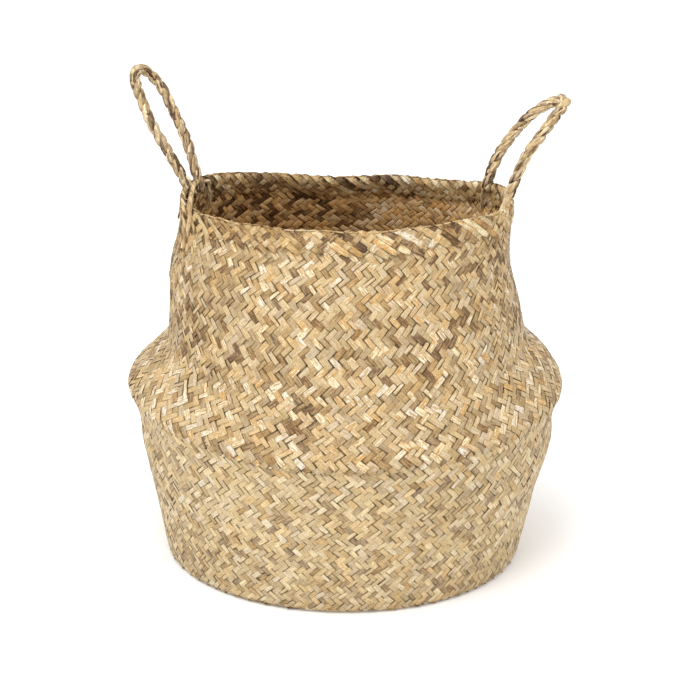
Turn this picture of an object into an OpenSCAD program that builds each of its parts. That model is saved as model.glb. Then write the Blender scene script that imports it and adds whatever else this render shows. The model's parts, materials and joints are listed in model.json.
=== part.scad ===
// Woven seagrass belly basket: a double-walled bowl with a folded belly line, an oval collar that
// pushes down into the bowl, a border of folded strip ends and two twisted rope handles.
// Units are millimetres. The origin is the centre of the base's underside, +Z is up, -Y is the front
// and the handles stand on the -X and +X sides.

/* [Bowl] */
// Largest outside diameter, at the belly fold
belly_d = 350; // [330:5:370]
// Diameter of the flat base
base_d = 276; // [260:2:290]
// Height of the belly fold above the floor
belly_z = 144; // [135:1:155]
// Radius of the rounded belly fold
belly_fold_r = 8; // [6:1:14]
// How far the bowl's wall bows outward between base and belly
wall_bow = 0.8; // [0:0.2:5]

/* [Collar] */
// Height of the mouth above the floor
mouth_z = 295; // [280:1:310]
// Outside width of the mouth, from handle to handle
mouth_w = 261; // [250:1:270]
// Outside depth of the mouth, front to back
mouth_d = 150; // [130:1:200]
// Radius of the round opening in the shoulder that the collar stands in
shoulder_hole_r = 143.5; // [142:0.5:146]

/* [Weave] */
// Thickness of one flattened seagrass strip
strip_t = 0.8; // [0.6:0.1:1]
// Width of one strip
strip_w = 4.6; // [3.5:0.1:5]

/* [Border] */
// Height of the folded border on the outside
border_h = 18; // [14:1:22]
// Number of strip ends turned down over the border
border_strips = 88; // [60:1:92]

/* [Handles] */
// Diameter of the two-strand rope
rope_d = 9.2; // [8:0.2:10]
// Length along the rope of one full turn of a strand
rope_lay = 20; // [18:1:30]
// Height of the left loop, measured along its sheet
left_loop_h = 104; // [90:1:115]
// Distance between the feet of the left handle
left_span = 15.5; // [14:0.5:60]
// How much wider than its feet the left loop opens
left_bulge = 47; // [0:1:60]
// Lean of the left loop from upright at its foot
left_lean_foot = 28; // [0:1:40]
// Lean of the left loop from upright at its top
left_lean_top = 34; // [0:1:60]
// Height of the right loop, measured along its sheet
right_loop_h = 90; // [80:1:115]
// Distance between the feet of the right handle
right_span = 35; // [34:1:50]
// How much wider than its feet the right loop opens
right_bulge = 9; // [0:1:60]
// Lean of the right loop from upright at its foot
right_lean_foot = 18; // [0:1:40]
// Lean of the right loop from upright at its top
right_lean_top = 68; // [0:1:70]

/* [Hidden] */

// Walls: each woven layer is two strips thick, and the inner layer lies just inside the outer one
layer_t = 2 * strip_t;
layer_gap = 0.1;
inner_d = layer_t + layer_gap;
wall_t = inner_d + layer_t;

// Bowl profile
base_r = base_d / 2;
belly_r = belly_d / 2;
base_corner_r = 7;
wall_lean = 13;
fold_end = 46;
shoulder_rise = 45;
fold_centre = [belly_r - belly_fold_r, belly_z];
fold_last = fold_centre + belly_fold_r * [cos(fold_end), sin(fold_end)];
shoulder_z = fold_last[1] + (fold_last[0] - shoulder_hole_r) * tan(shoulder_rise);
shoulder_over = 4;
exact_fn = 96;

// Collar
running_gap = 0.4;
collar_foot_r = shoulder_hole_r - running_gap;
collar_foot_z = shoulder_z - 6;
collar_top_z = mouth_z - 1.8;
ring_steps = 72;
collar_steps = 8;

// Border: a folded band over the top of both layers
border_t = 1.2;
border_clear = 0.15;
border_inside_h = border_h - 2;
border_out = -border_clear - border_t;
border_in = wall_t + border_clear + border_t;
strip_lean = 45;
strip_len = border_h / cos(strip_lean) - strip_w;
strip_clear = 0.3;

// Handles: the two strands of a rope stand on the rim's crown and turn about the line of their feet
strand_gap = 0.25;
strand_r = rope_d / 4 - strand_gap / 2;
strand_off = rope_d / 4;
pivot_clear = 0.6;
pivot_z = mouth_z + rope_d / 2 + pivot_clear;
crown_d = wall_t / 2;
loop_steps = 110;
strand_sides = 8;
left_middle = 17.2;
right_middle = 15.5;

// Tails: the ends of the ropes, laid against the wall below the border and tucked into the weave, and
// the angle round the mouth at which each one goes down
left_front_tail_at = 199;
left_rear_tail_at = 154;
right_front_tail_at = 2;
right_rear_tail_at = 29;
tail_r = 3.4;
tail_tip_r = 1.4;
tail_len = 34;
tail_steps = 10;
tail_drop = 0.2;
strip_end_bow = 2.2;
outside_d = border_out - strip_t - strip_end_bow - tail_r;
inside_d = border_in + 2 * strip_clear + tail_r;

straw = [0.83, 0.72, 0.53];
straw_light = [0.87, 0.77, 0.58];
straw_dark = [0.62, 0.49, 0.33];
straw_gold = [0.80, 0.64, 0.38];
rope_colour = [0.78, 0.66, 0.47];

// ---- Small helpers ----

function unit(v) = v / norm(v);

// A path moved sideways by d, to the left of its direction
function shifted(path, d) = [for (i = [0 : len(path) - 1])
    let (along = path[min(i + 1, len(path) - 1)] - path[max(i - 1, 0)], t = unit(along))
    path[i] + d * [-t[1], t[0]]];

function reversed(list) = [for (i = [len(list) - 1 : -1 : 0]) list[i]];

// Running length at each point of a path
function running_length(p) = [for (i = 0, s = 0; i < len(p);
    s = s + (i < len(p) - 1 ? norm(p[i + 1] - p[i]) : 0), i = i + 1) s];

// A tube through rings of points; ring i has the same number of points as the others
module tube(rings) {
    sides = len(rings[0]);
    last = len(rings) - 1;
    points = [for (ring = rings) each ring];
    skin = [for (i = [0 : last - 1], k = [0 : sides - 1])
        let (a = i * sides + k, b = i * sides + (k + 1) % sides)
        each [[a, b, b + sides], [a, b + sides, a + sides]]];
    foot = [for (k = [sides - 1 : -1 : 0]) k];
    top = [for (k = [0 : sides - 1]) last * sides + k];
    polyhedron(points = points, faces = concat(skin, [foot, top]), convexity = 10);
}

// A closed band: rings of profile points that run round and meet themselves again. Every quad is split
// along the diagonal that rises with the turn, so that the faces of two nested bands lie parallel
module band(rings) {
    sides = len(rings[0]);
    count = len(rings);
    points = [for (ring = rings) each ring];
    skin = [for (i = [0 : count - 1], k = [0 : sides - 1])
        let (j = (i + 1) % count, m = (k + 1) % sides,
            a = i * sides + k, b = i * sides + m, c = j * sides + m, d = j * sides + k)
        each points[b][2] >= points[a][2] ? [[a, b, c], [a, c, d]] : [[a, b, d], [b, c, d]]];
    polyhedron(points = points, faces = skin, convexity = 10);
}

// ---- Bowl ----

// Outside of the bowl from the base's edge, up the wall, over the belly fold to the shoulder's opening
corner_arc = [for (a = [-90 : 11 : -wall_lean])
    [base_r, base_corner_r] + base_corner_r * [cos(a), sin(a)]];
fold_below = [for (a = [-wall_lean : wall_lean / 2 : -1]) a];
fold_above = [for (a = [0 : fold_end / 8 : fold_end + 0.1]) a];
fold_arc = [for (a = concat(fold_below, fold_above)) fold_centre + belly_fold_r * [cos(a), sin(a)]];
wall_from = corner_arc[len(corner_arc) - 1];
wall_to = fold_arc[0];
wall_line = [for (s = [0.15 : 0.14 : 0.9])
    wall_from + s * (wall_to - wall_from) + [4 * wall_bow * s * (1 - s), 0]];
shoulder_line = [[shoulder_hole_r - shoulder_over, shoulder_z + shoulder_over * tan(shoulder_rise)]];
bowl_path = concat(corner_arc, wall_line, fold_arc, shoulder_line);
bowl_top = len(corner_arc) + len(wall_line) + len(fold_below);

function part_of(list, from, to) = [for (i = [from : to]) list[i]];

// One layer of the bowl's whole profile, or of the stretch between two of its points
module turned_layer(depth, from, to) {
    outside = part_of(shifted(bowl_path, depth), from, to);
    inside = part_of(shifted(bowl_path, depth + layer_t), from, to);
    rotate_extrude($fn = exact_fn) polygon(concat(outside, reversed(inside)));
}

module bowl_layer(depth) {
    difference() {
        turned_layer(depth, 0, bowl_top);
        translate([0, 0, -1]) cylinder(h = belly_z, r = base_r, $fn = exact_fn);
    }
}

module shoulder_layer(depth) {
    difference() {
        turned_layer(depth, bowl_top, len(bowl_path) - 1);
        translate([0, 0, belly_z]) cylinder(h = belly_z, r = shoulder_hole_r, $fn = exact_fn);
    }
}

module base_outer_mat() {
    color(straw) cylinder(h = layer_t, r = base_r, $fn = exact_fn);
}

module base_inner_mat() {
    color(straw_dark) translate([0, 0, inner_d]) cylinder(h = layer_t, r = base_r, $fn = exact_fn);
}

module bowl_outer_weave() {
    color(straw_light) bowl_layer(0);
}

module bowl_inner_weave() {
    color(straw_dark) bowl_layer(inner_d);
}

module shoulder_outer_weave() {
    color(straw) shoulder_layer(0);
}

module shoulder_inner_weave() {
    color(straw_dark) shoulder_layer(inner_d);
}

// ---- Collar ----

// Share of the way down from the mouth, and the oval's half width and half depth there
function fall(z) = max(0, min(1, (mouth_z - z) / (mouth_z - shoulder_z)));
spread_w = collar_foot_r - mouth_w / 2;
spread_d = collar_foot_r - mouth_d / 2;
foot_flare = 0.18;
function half_w(z) = let (k = fall(z)) mouth_w / 2 + spread_w * k * k * (3 - 2 * k);
function half_d(z) = let (k = fall(z))
    mouth_d / 2 + spread_d * ((1 - foot_flare) * k + foot_flare * pow(k, 8));

// Outward direction across the oval, and how fast the wall leans out as it rises
function across(a, z) = unit([cos(a) / half_w(z), sin(a) / half_d(z)]);
function lean(a, z) = let (step = 0.5, m = across(a, z))
    ((half_w(z + step) - half_w(z - step)) * cos(a) * m[0]
        + (half_d(z + step) - half_d(z - step)) * sin(a) * m[1]) / (2 * step);

// A point of the collar at angle a and height z, depth d inside its outer face
function collar_point(a, z, d) = let (m = across(a, z), out = d * sqrt(1 + pow(lean(a, z), 2)))
    [half_w(z) * cos(a) - m[0] * out, half_d(z) * sin(a) - m[1] * out, z];

// Heights of the collar's rings, closer together near the foot, where the wall flares
collar_heights = [for (i = [0 : collar_steps])
    collar_foot_z + (collar_top_z - collar_foot_z) * pow(i / collar_steps, 1.3)];

module collar_layer(depth) {
    profile = concat([for (z = collar_heights) [depth, z]],
        [for (z = reversed(collar_heights)) [depth + layer_t, z]]);
    band([for (i = [0 : ring_steps - 1])
        [for (p = reversed(profile)) collar_point(360 * i / ring_steps, p[1], p[0])]]);
}

module collar_outer_weave() {
    color(straw) collar_layer(0);
}

module collar_inner_weave() {
    color(straw_dark) collar_layer(inner_d);
}

// ---- Border ----

border_profile = [
    [border_out, mouth_z - border_h], [border_out, mouth_z - 1], [border_out + 1, mouth_z],
    [border_in - 1, mouth_z], [border_in, mouth_z - 1], [border_in, mouth_z - border_inside_h],
    [border_in - border_t, mouth_z - border_inside_h], [border_in - border_t, collar_top_z + border_clear],
    [-border_clear, collar_top_z + border_clear], [-border_clear, mouth_z - border_h]];

module rim_border() {
    color(straw_gold) band([for (i = [0 : ring_steps - 1])
        [for (p = border_profile) collar_point(360 * i / ring_steps, p[1], p[0])]]);
}

// Angles that divide the mouth's oval into equal lengths
oval_degrees = [for (a = [0 : 3 : 360]) a];
oval_length = running_length([for (a = oval_degrees) collar_point(a, mouth_z - border_h / 2, 0)]);
oval_table = [for (i = [0 : len(oval_degrees) - 1]) [oval_length[i], oval_degrees[i]]];
oval_total = oval_length[len(oval_length) - 1];

module rim_strip_ends() {
    mid_z = mouth_z - border_h / 2 - 1;
    color(straw_light) for (i = [0 : border_strips - 1]) {
        a = lookup((i + 0.5) * oval_total / border_strips, oval_table);
        m = across(a, mid_z);
        translate(collar_point(a, mid_z, border_out - strip_clear - strip_t / 2))
            rotate([0, atan(lean(a, mid_z)), atan2(m[1], m[0])])
            rotate([strip_lean, 0, 0])
            cube([strip_t, strip_w, strip_len], center = true);
    }
}

// ---- Handles ----

// Angle of a handle's foot round the mouth's oval: side is -1 or 1, end is -1 for the front foot
// and 1 for the rear one, and middle is how far behind the basket's side the handle's middle lies
function foot_angle(side, end, middle, span) =
    (side > 0 ? middle : 180 - middle) + side * end * span / 2 * 180 / (PI * half_d(mouth_z));
function foot(side, end, middle, span) =
    collar_point(foot_angle(side, end, middle, span), mouth_z, crown_d);

// Facts of each handle: front foot, rear foot, loop height, bulge, lean at the foot, lean at the top
left_handle = [foot(-1, -1, left_middle, left_span), foot(-1, 1, left_middle, left_span),
    left_loop_h, left_bulge, left_lean_foot, left_lean_top];
right_handle = [foot(1, -1, right_middle, right_span), foot(1, 1, right_middle, right_span),
    right_loop_h, right_bulge, right_lean_foot, right_lean_top];

// A point of a handle's middle line: the loop lies in a sheet that bends outward as it rises
function loop_frame(h) = let (t = unit(h[1] - h[0]), side = sign(h[0][0] + h[1][0]))
    [t, side * [t[1], -t[0], 0]];
function loop_point(h, q) = let (f = loop_frame(h), span = norm(h[1] - h[0]),
        middle = (h[0] + h[1]) / 2, turn = 180 * q, up = h[2] * sin(turn),
        mean = h[4] + (h[5] - h[4]) * up / h[2] / 2,
        across = -cos(turn) * (span + h[3] * sin(turn)) / 2)
    [middle[0], middle[1], pivot_z] + across * f[0]
        + up * (cos(mean) * [0, 0, 1] + sin(mean) * f[1]);

// One strand of the rope, a helix round the loop's middle line
module strand(h, phase) {
    qs = [for (i = [-1 : loop_steps + 1]) i / loop_steps];
    line = [for (q = qs) loop_point(h, q)];
    run = running_length(line);
    f = loop_frame(h);
    helix = [for (i = [0 : len(line) - 1])
        let (t = unit(line[min(i + 1, len(line) - 1)] - line[max(i - 1, 0)]),
            n = unit(cross(t, cross(f[1], t))), b = cross(t, n),
            turn = 360 * run[i] / rope_lay + phase)
        line[i] + strand_off * (cos(turn) * n + sin(turn) * b)];
    rings = [for (i = [1 : len(helix) - 2])
        let (t = unit(helix[i + 1] - helix[i - 1]), e = unit(cross(t, f[1])), g = cross(t, e))
        [for (k = [0 : strand_sides - 1]) let (a = 360 * k / strand_sides)
            helix[i] + strand_r * (cos(a) * e + sin(a) * g)]];
    color(rope_colour) tube(rings);
}

// The end of a handle's rope, at angle a: from beside the border it runs down the wall and is tucked
// into it
module tail(a, depth, tuck) {
    line = [for (i = [0 : tail_steps]) let (s = i / tail_steps)
        collar_point(a, mouth_z - tail_drop - tail_len * s, depth + (tuck - depth) * pow(s, 4))];
    out = concat(across(a, mouth_z), [0]);
    rings = [for (i = [0 : tail_steps])
        let (t = unit(line[min(i + 1, tail_steps)] - line[max(i - 1, 0)]),
            r = tail_r + (tail_tip_r - tail_r) * pow(i / tail_steps, 2),
            e = unit(cross(t, out)), g = cross(t, e))
        [for (k = [0 : strand_sides - 1]) let (b = 360 * k / strand_sides)
            line[i] + r * (cos(b) * e + sin(b) * g)]];
    color(rope_colour) tube(rings);
}

// A tail on the outside of the wall, and one on its inside
module outer_tail(a) {
    tail(a, outside_d, layer_t - tail_tip_r);
}

module inner_tail(a) {
    tail(a, inside_d, inner_d + tail_tip_r);
}

module left_handle_strand_a() {
    strand(left_handle, 0);
}

module left_handle_strand_b() {
    strand(left_handle, 180);
}

module right_handle_strand_a() {
    strand(right_handle, 0);
}

module right_handle_strand_b() {
    strand(right_handle, 180);
}

module left_handle_front_tail() {
    outer_tail(left_front_tail_at);
}

module left_handle_rear_tail() {
    inner_tail(left_rear_tail_at);
}

module right_handle_front_tail() {
    inner_tail(right_front_tail_at);
}

module right_handle_rear_tail() {
    inner_tail(right_rear_tail_at);
}

base_outer_mat();
base_inner_mat();
bowl_outer_weave();
bowl_inner_weave();
shoulder_outer_weave();
shoulder_inner_weave();
collar_outer_weave();
collar_inner_weave();
rim_border();
rim_strip_ends();
left_handle_strand_a();
left_handle_strand_b();
right_handle_strand_a();
right_handle_strand_b();
left_handle_front_tail();
left_handle_rear_tail();
right_handle_front_tail();
right_handle_rear_tail();
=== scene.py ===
"""A woven seagrass belly basket: every strip of its two walls, its border and its rope handles."""

import json
import math

import bpy
import numpy as np
from mathutils import Matrix, Vector


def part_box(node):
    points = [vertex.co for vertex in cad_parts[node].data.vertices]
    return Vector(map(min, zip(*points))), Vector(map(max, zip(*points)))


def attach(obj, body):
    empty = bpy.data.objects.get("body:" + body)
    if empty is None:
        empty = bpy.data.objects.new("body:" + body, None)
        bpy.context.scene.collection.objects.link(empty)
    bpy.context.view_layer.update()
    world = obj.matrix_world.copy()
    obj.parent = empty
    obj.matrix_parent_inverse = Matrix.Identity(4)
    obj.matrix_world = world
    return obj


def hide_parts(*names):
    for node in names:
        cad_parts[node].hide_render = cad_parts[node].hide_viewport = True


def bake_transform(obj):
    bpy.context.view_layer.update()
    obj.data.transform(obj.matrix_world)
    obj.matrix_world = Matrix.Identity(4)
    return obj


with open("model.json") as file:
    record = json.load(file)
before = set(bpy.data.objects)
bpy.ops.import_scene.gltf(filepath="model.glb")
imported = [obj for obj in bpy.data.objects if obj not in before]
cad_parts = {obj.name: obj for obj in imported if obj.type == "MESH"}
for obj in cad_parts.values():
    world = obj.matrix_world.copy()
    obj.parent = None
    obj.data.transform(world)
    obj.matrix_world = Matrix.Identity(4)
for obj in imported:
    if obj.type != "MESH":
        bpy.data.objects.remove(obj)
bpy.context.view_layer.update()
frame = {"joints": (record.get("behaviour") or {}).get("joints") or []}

MM = 0.001
TAU = 2 * math.pi
UP = np.array([0.0, 0.0, 1.0])
rng = np.random.default_rng(7)

# ---- Sizes, from the frame ----

BASE_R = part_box("base_outer_mat")[1].x
BELLY_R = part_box("bowl_outer_weave")[1].x
BELLY_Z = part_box("bowl_outer_weave")[1].z
SHOULDER_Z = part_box("shoulder_outer_weave")[1].z
INNER_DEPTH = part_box("base_inner_mat")[0].z
WALL_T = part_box("base_inner_mat")[1].z
MOUTH_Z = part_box("rim_border")[1].z
BORDER_H = MOUTH_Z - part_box("rim_border")[0].z
BORDER_PROUD = 1.35 * MM
MOUTH_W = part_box("rim_border")[1].x - BORDER_PROUD
MOUTH_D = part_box("rim_border")[1].y - BORDER_PROUD
COLLAR_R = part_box("collar_outer_weave")[1].x
JOINTS = {j["name"]: j for j in frame["joints"]}

# Bowl: a rounded foot, a wall that leans out and bows a little, and a sharp belly fold that juts out
# over the wall. From the fold's end the shoulder rises to the collar. Angles are in degrees
FOOT_R = 7 * MM
FOLD_R = 8 * MM
WALL_LEAN = 13
FOLD_END = 46
WALL_BOW = 0.8 * MM
# The wall draws in under the fold: how much, how far below the fold's middle and over what half height
FOLD_LIP = 1.6 * MM
LIP_BELOW = 22 * MM
LIP_REACH = 13 * MM
# The wall also hollows by this much, most of it two thirds of the way up
WALL_HOLLOW = 2.2 * MM
# In front and at the back the collar runs from the fold to the mouth, and this share of its slope is even
EVEN_SLOPE = 0.84
WALL_ROWS = 260

# One woven layer: strips that pass over and under each other by RELIEF
RELIEF = 0.24 * MM
STRIP_T = 0.6 * MM
LAYER_MID = 0.8 * MM
BOWL_STRIPS = 156
UPPER_STRIPS = 134
INNER_BOWL_STRIPS = 132
INNER_UPPER_STRIPS = 124
# How much light the covered stretches of a strip get
UNDER_SHADE = 0.35


# ---- Mesh helpers ----

def link(obj):
    bpy.context.scene.collection.objects.link(obj)
    return obj


def unit(v):
    return v / np.maximum(np.linalg.norm(v, axis=-1, keepdims=True), 1e-12)


def smooth(x):
    x = np.clip(x, 0, 1)
    return x * x * (3 - 2 * x)


def run_length(line):
    """Running length at each point of a line."""
    return np.concatenate([[0.0], np.cumsum(np.linalg.norm(np.diff(line, axis=0), axis=1))])


def turns_right_way(rings):
    """True where a tube's rings run counter-clockwise about its direction, so its faces look out."""
    middle = len(rings) // 2
    ring = rings[middle]
    centre = ring.mean(0)
    spin = np.cross(ring - centre, np.roll(ring, -1, 0) - centre).sum(0)
    ahead = rings[min(middle + 1, len(rings) - 1)].mean(0) - rings[middle - 1].mean(0)
    return np.dot(spin, ahead) > 0


def tubes(name, parts, material):
    """One mesh of closed tubes. Each part is (rings, strand, look): rings is (stations, sides, 3),
    and strand and look are point attributes of the same shape."""
    points, strands, looks, loops, sizes, base = [], [], [], [], [], 0
    for rings, strand, look in parts:
        stations, sides, _ = rings.shape
        if not turns_right_way(rings):
            rings, strand, look = rings[:, ::-1], strand[:, ::-1], look[:, ::-1]
        a = base + np.arange(stations - 1)[:, None] * sides + np.arange(sides)
        b = base + np.arange(stations - 1)[:, None] * sides + (np.arange(sides) + 1) % sides
        loops.append(np.stack([a, b, b + sides, a + sides], -1).ravel())
        loops.append(base + np.arange(sides)[::-1])
        loops.append(base + (stations - 1) * sides + np.arange(sides))
        sizes += [np.full((stations - 1) * sides, 4), np.full(2, sides)]
        points.append(rings.reshape(-1, 3))
        strands.append(strand.reshape(-1, 3))
        looks.append(look.reshape(-1, 3))
        base += stations * sides
    loops = np.concatenate(loops).astype(np.int32)
    sizes = np.concatenate(sizes)
    mesh = bpy.data.meshes.new(name)
    mesh.vertices.add(base)
    mesh.vertices.foreach_set("co", np.concatenate(points).astype(np.float32).ravel())
    mesh.loops.add(len(loops))
    mesh.loops.foreach_set("vertex_index", loops)
    mesh.polygons.add(len(sizes))
    mesh.polygons.foreach_set("loop_start", (np.cumsum(sizes) - sizes).astype(np.int32))
    mesh.update(calc_edges=True)
    for key, data in (("strand", strands), ("look", looks)):
        layer = mesh.attributes.new(key, "FLOAT_VECTOR", "POINT")
        layer.data.foreach_set("vector", np.concatenate(data).astype(np.float32).ravel())
    mesh.materials.append(material)
    return link(bpy.data.objects.new(name, mesh))


# Cross-sections: across (-1 to 1, times the half width) and height (times the thickness)
STRIP_SECTION = np.array([[-1, -0.14], [-0.88, -0.01], [0, 0.04], [0.88, -0.01], [1, -0.14], [0, -0.9]])
THIN_SECTION = np.array([[-1, -0.22], [-0.7, 0.0], [0.7, 0.0], [1, -0.22], [0, -0.9]])
BLADE_SECTION = np.array([[-1, -0.1], [-0.6, 0.4], [0, 0.55], [0.6, 0.4], [1, -0.1], [0.4, -0.5],
                          [-0.4, -0.5]])


def ribbon(line, up, half_width, thickness, tone, section=BLADE_SECTION, shade=1.0, tilt=0.0, upper=1.0):
    """A flat blade along a line. up is the way its flat face looks, tone its colour value and shade
    how much light it gets. Width, thickness, tone and shade may be one value or one for each point.
    tilt lifts one edge, and upper is 1 for the colours of the upper wall and 0 for the bowl's."""
    count = len(line)
    along = unit(np.gradient(line, axis=0))
    side = unit(np.cross(np.broadcast_to(up, line.shape), along))
    face = np.cross(along, side)
    c = section[:, 0][None, :, None]
    h = section[:, 1][None, :, None]
    wide = np.broadcast_to(half_width, count)[:, None, None]
    thick = np.broadcast_to(thickness, count)[:, None, None]
    rings = line[:, None] + side[:, None] * c * wide + face[:, None] * (h * thick + tilt * c)
    full = np.ones((count, len(section)))
    tone = np.broadcast_to(tone, count)[:, None]
    shade = np.broadcast_to(shade, count)[:, None]
    length = run_length(line)[:, None]
    strand = np.stack([length * full, section[:, 0][None] * full, rng.random() * full], -1)
    look = np.stack([tone * full, shade * full, upper * full], -1)
    return rings, strand, look


# ---- The wall's shape ----

def side_profile():
    """The bowl and shoulder seen from the side: radius and height, from the base's edge up."""
    turn = np.radians(np.linspace(-90, -WALL_LEAN, 12))
    foot = np.stack([BASE_R + FOOT_R * np.cos(turn), FOOT_R * (1 + np.sin(turn))], 1)
    turn = np.radians(np.linspace(-WALL_LEAN, FOLD_END, 16))
    fold = np.stack([BELLY_R - FOLD_R + FOLD_R * np.cos(turn), BELLY_Z + FOLD_R * np.sin(turn)], 1)
    share = np.linspace(0, 1, 60)[1:-1, None]
    bow = 4 * WALL_BOW * share * (1 - share) * np.array([1.0, 0.0])
    side = foot[-1] + share * (fold[0] - foot[-1]) + bow
    side[:, 0] -= FOLD_LIP * np.exp(-((side[:, 1] - BELLY_Z + LIP_BELOW) / LIP_REACH) ** 2)
    most = 4 / 27
    side[:, 0] -= WALL_HOLLOW / most * share[:, 0] ** 2 * (1 - share[:, 0])
    return np.concatenate([foot, side, fold, [[COLLAR_R, SHOULDER_Z]]]), len(foot)


def wall_rows():
    """Height, half width and half depth of rows of the wall, from the base's edge to the mouth. At the
    sides the collar stands up from the shoulder, and in front and at the back it runs on from it."""
    side, foot_rows = side_profile()
    foot = side[:foot_rows]
    z = np.linspace(foot[-1, 1], MOUTH_Z, WALL_ROWS)[1:]
    low = np.interp(z, side[:, 1], side[:, 0])
    fall = np.clip((MOUTH_Z - z) / (MOUTH_Z - SHOULDER_Z), 0, 1)
    high_w = MOUTH_W + (COLLAR_R - MOUTH_W) * smooth(fall)
    half_w = np.where(z < SHOULDER_Z, low, high_w)
    fold_z, fold_r = side[-2, 1], side[-2, 0]
    fall = np.clip((MOUTH_Z - z) / (MOUTH_Z - fold_z), 0, 1)
    high_d = MOUTH_D + (fold_r - MOUTH_D) * (EVEN_SLOPE * fall + (1 - EVEN_SLOPE) * fall ** 3)
    half_d = np.where(z < fold_z, low, high_d)
    return (np.concatenate([foot[:, 1], z]), np.concatenate([foot[:, 0], half_w]),
            np.concatenate([foot[:, 0], half_d]))


# What hand work does to the plain shape. Angles round the wall are in degrees from +X, counter-clockwise

# Where the mouth's edge stands higher or lower: angle round it, half width of the wave and height
RIM_WAVES = ((92, 32, -7.0 * MM), (163, 20, 6.5 * MM), (45, 18, -3.0 * MM), (10, 15, 5.5 * MM),
             (-38, 22, 4.0 * MM), (-105, 45, 1.0 * MM))
# Where the belly fold sags: angle round it, half width and depth, and how far up from it that is felt
FOLD_SAGS = ((-95, 52, 10.0 * MM), (90, 50, 5.0 * MM))
SAG_REACH = 95 * MM
# Where the wall swells out: angle round it, half width, height, half height and amount
SWELLS = ((0, 32, 168 * MM, 17 * MM, 7.5 * MM), (0, 40, 96 * MM, 24 * MM, 5.0 * MM),
          (180, 40, 122 * MM, 18 * MM, -2.0 * MM))
# Small dents all over the wall: times round it, times up it, phase and amount
DENTS = ((3, 9, 0.6, 0.9 * MM), (5, -14, 2.1, 0.6 * MM), (11, 21, 0.0, 0.35 * MM))
# The rows of the weave rise and fall: times round the wall, phase and amount
ROW_WAVES = ((2, 0.4, 0.8 * MM), (5, 1.9, 0.6 * MM))
# Dents and row waves start at the foot, and this share of them is lost on the way to the mouth
CALM_FOOT = 60 * MM
CALM_FROM = 260 * MM
CALM_REACH = 35 * MM
CALM_SHARE = 0.7
# The collar is pushed a little to -X: how far, at what height and over what half height
NECK_PUSH = 5.0 * MM
NECK_Z = 245 * MM
NECK_REACH = 27 * MM


def bump(turn, at, width):
    """One at an angle in degrees, falling to nothing on both sides of it."""
    off = (np.degrees(turn) - at + 180) % 360 - 180
    return np.exp(-(off / width) ** 2)


def hand_work(p):
    """Moves points as hand work does: the wall swells, the fold sags and the mouth's edge waves."""
    x, y, z = p[..., 0], p[..., 1], p[..., 2]
    turn = np.arctan2(y, x)
    up = np.clip(z / MOUTH_Z, 0, 1.1)
    ease = smooth(z / CALM_FOOT) * (1 - CALM_SHARE * smooth((z - CALM_FROM) / CALM_REACH))
    swell = ease * sum(much * np.sin(k * turn + m * up + phase) for k, m, phase, much in DENTS)
    for at, width, height, reach, amount in SWELLS:
        swell = swell + amount * bump(turn, at, width) * np.exp(-((z - height) / reach) ** 2)
    near_fold = np.where(z < BELLY_Z, smooth(z / BELLY_Z), smooth(1 - (z - BELLY_Z) / SAG_REACH))
    sag = near_fold * sum(bump(turn, at, width) * depth for at, width, depth in FOLD_SAGS)
    edge = up ** 4 * sum(bump(turn, at, width) * height for at, width, height in RIM_WAVES)
    rows = ease * sum(much * np.sin(k * turn + phase) for k, phase, much in ROW_WAVES)
    out = p.copy()
    out[..., 0] += swell * np.cos(turn) - NECK_PUSH * np.exp(-((z - NECK_Z) / NECK_REACH) ** 2)
    out[..., 1] += swell * np.sin(turn)
    out[..., 2] += rows + edge - sag
    return out


# Towards the mouth the strips crowd together at the sides, by up to this share
CROWDING = 0.20
# Over the shoulder the crossings are closer above each other than in the bowl, and from DENSE_TO up
# they draw apart again: how many times as many there are, what is taken off that and over what height
DENSE_ROWS = 1.2
DENSE_LOSS = 0.27
DENSE_TO = 175 * MM
DENSE_REACH = 50 * MM


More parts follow.
